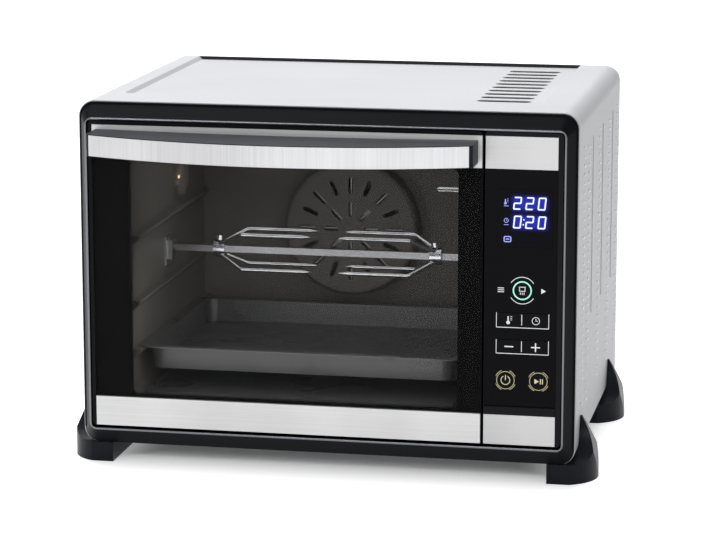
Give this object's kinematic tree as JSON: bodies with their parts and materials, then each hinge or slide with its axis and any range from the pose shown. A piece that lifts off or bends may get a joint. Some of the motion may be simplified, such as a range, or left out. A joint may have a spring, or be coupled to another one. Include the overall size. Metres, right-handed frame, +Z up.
{
  "type": "electric countertop oven",
  "caption": "Electric countertop oven with a drop-down double-glazed door, bowed pull handle, glossy key panel with a display, convection fan, rotisserie spit and baking tray on finned feet.",
  "frame": {"origin": "on the surface the feet stand on, at the middle of the footprint over feet, handle and cord bush", "axes": "+X to the right seen from the front, +Y to the rear, +Z up; the door and the key panel face -Y"},
  "size_m": [0.538, 0.4672, 0.37],
  "materials": {
    "black_moulding": "satin",
    "silver_case": "satin",
    "black_sheet": "satin",
    "black_screw": "satin",
    "grey_sheet": "satin",
    "cavity": "satin",
    "seal": "matt",
    "heater": "satin",
    "ceramic": "satin",
    "dull_metal": "satin",
    "bright_metal": "polished",
    "clear_glass": "clear",
    "smoked_glass": "clear",
    "smoked_window": "clear",
    "lamp": "satin",
    "tray": "satin",
    "gloss_panel": "gloss",
    "gloss_key": "gloss",
    "brushed_strip": "brushed",
    "display": "satin",
    "board": "satin"
  },
  "bodies": {
    "oven": {"front_frame": "black_moulding", "outer_case": "silver_case", "rear_panel": "black_sheet", "rear_screws": "black_screw", "base_plate": "grey_sheet", "cord_gland": "black_moulding", "foot_front_left": "black_moulding", "foot_front_right": "black_moulding", "foot_rear_left": "black_moulding", "foot_rear_right": "black_moulding", "cavity_shell": "cavity", "door_seal": "seal", "top_heater": "heater", "bottom_heater": "heater", "heater_insulators": "ceramic", "fan_guard": "cavity", "fan_motor": "dull_metal", "lamp_cover": "clear_glass", "lamp_bulb": "lamp", "temperature_probe": "bright_metal", "rotisserie_motor": "dull_metal", "spit_bearing": "dull_metal", "control_housing": "black_moulding", "control_fascia": "gloss_panel", "badge_plate": "brushed_strip", "lower_plate": "brushed_strip", "display_window": "smoked_window", "display_module": "display", "control_board": "board", "power_board": "board", "hinge_brackets": "dull_metal", "hinge_pins": "bright_metal"},
    "door": {"door_frame": "black_moulding", "door_outer_glass": "smoked_glass", "door_inner_glass": "clear_glass", "door_top_strip": "brushed_strip", "door_bottom_strip": "brushed_strip", "handle_body": "black_moulding", "handle_trim": "brushed_strip", "handle_screws": "bright_metal", "door_stays": "dull_metal"},
    "spit": {"drive_socket": "dull_metal", "spit_rod": "bright_metal"},
    "left_fork": {"fork_left": "bright_metal"},
    "right_fork": {"fork_right": "bright_metal"},
    "left_thumbscrew": {"fork_screw_left": "bright_metal"},
    "right_thumbscrew": {"fork_screw_right": "bright_metal"},
    "fan": {"fan_blade": "dull_metal"},
    "tray": {"baking_tray": "tray"},
    "crumb_drawer": {"crumb_tray": "tray"},
    "function_key": {"key_function": "gloss_key"},
    "temperature_key": {"key_temperature": "gloss_key"},
    "timer_key": {"key_timer": "gloss_key"},
    "minus_key": {"key_minus": "gloss_key"},
    "plus_key": {"key_plus": "gloss_key"},
    "power_key": {"key_power": "gloss_key"},
    "start_key": {"key_start": "gloss_key"}
  },
  "joints": [
    {"name": "door_hinge", "type": "hinge", "parent": "oven", "child": "door", "pos_m": [0, -0.1531, 0.048], "axis": [1, 0, 0], "range_deg": [0, 82]},
    {"name": "spit_turn", "type": "hinge", "parent": "oven", "child": "spit", "pos_m": [0, 0.0094, 0.195], "axis": [1, 0, 0], "continuous": true},
    {"name": "fan_turn", "type": "hinge", "parent": "oven", "child": "fan", "pos_m": [-0.032, 0.1664, 0.195], "axis": [0, 1, 0], "continuous": true},
    {"name": "tray_slide", "type": "slide", "parent": "oven", "child": "tray", "axis": [0, -1, 0], "range_m": [0, 0.018]},
    {"name": "crumb_tray_slide", "type": "slide", "parent": "oven", "child": "crumb_drawer", "axis": [0, -1, 0], "range_m": [0, 0.008]},
    {"name": "left_fork_slide", "type": "slide", "parent": "spit", "child": "left_fork", "axis": [1, 0, 0], "range_m": [-0.025, 0.025]},
    {"name": "left_thumbscrew_turn", "type": "hinge", "parent": "left_fork", "child": "left_thumbscrew", "pos_m": [-0.145, 0.0094, 0.204], "axis": [0, 0, 1], "range_deg": [0, 360]},
    {"name": "right_fork_slide", "type": "slide", "parent": "spit", "child": "right_fork", "axis": [1, 0, 0], "range_m": [-0.025, 0.025]},
    {"name": "right_thumbscrew_turn", "type": "hinge", "parent": "right_fork", "child": "right_thumbscrew", "pos_m": [0.085, 0.0094, 0.204], "axis": [0, 0, 1], "range_deg": [0, 360]},
    {"name": "function_press", "type": "slide", "parent": "oven", "child": "function_key", "axis": [0, 1, 0], "range_m": [0, 0.0008], "stiffness_N_per_m": 400},
    {"name": "temperature_press", "type": "slide", "parent": "oven", "child": "temperature_key", "axis": [0, 1, 0], "range_m": [0, 0.0008], "stiffness_N_per_m": 400},
    {"name": "timer_press", "type": "slide", "parent": "oven", "child": "timer_key", "axis": [0, 1, 0], "range_m": [0, 0.0008], "stiffness_N_per_m": 400},
    {"name": "minus_press", "type": "slide", "parent": "oven", "child": "minus_key", "axis": [0, 1, 0], "range_m": [0, 0.0008], "stiffness_N_per_m": 400},
    {"name": "plus_press", "type": "slide", "parent": "oven", "child": "plus_key", "axis": [0, 1, 0], "range_m": [0, 0.0008], "stiffness_N_per_m": 400},
    {"name": "power_press", "type": "slide", "parent": "oven", "child": "power_key", "axis": [0, 1, 0], "range_m": [0, 0.0008], "stiffness_N_per_m": 400},
    {"name": "start_press", "type": "slide", "parent": "oven", "child": "start_key", "axis": [0, 1, 0], "range_m": [0, 0.0008], "stiffness_N_per_m": 400}
  ]
}
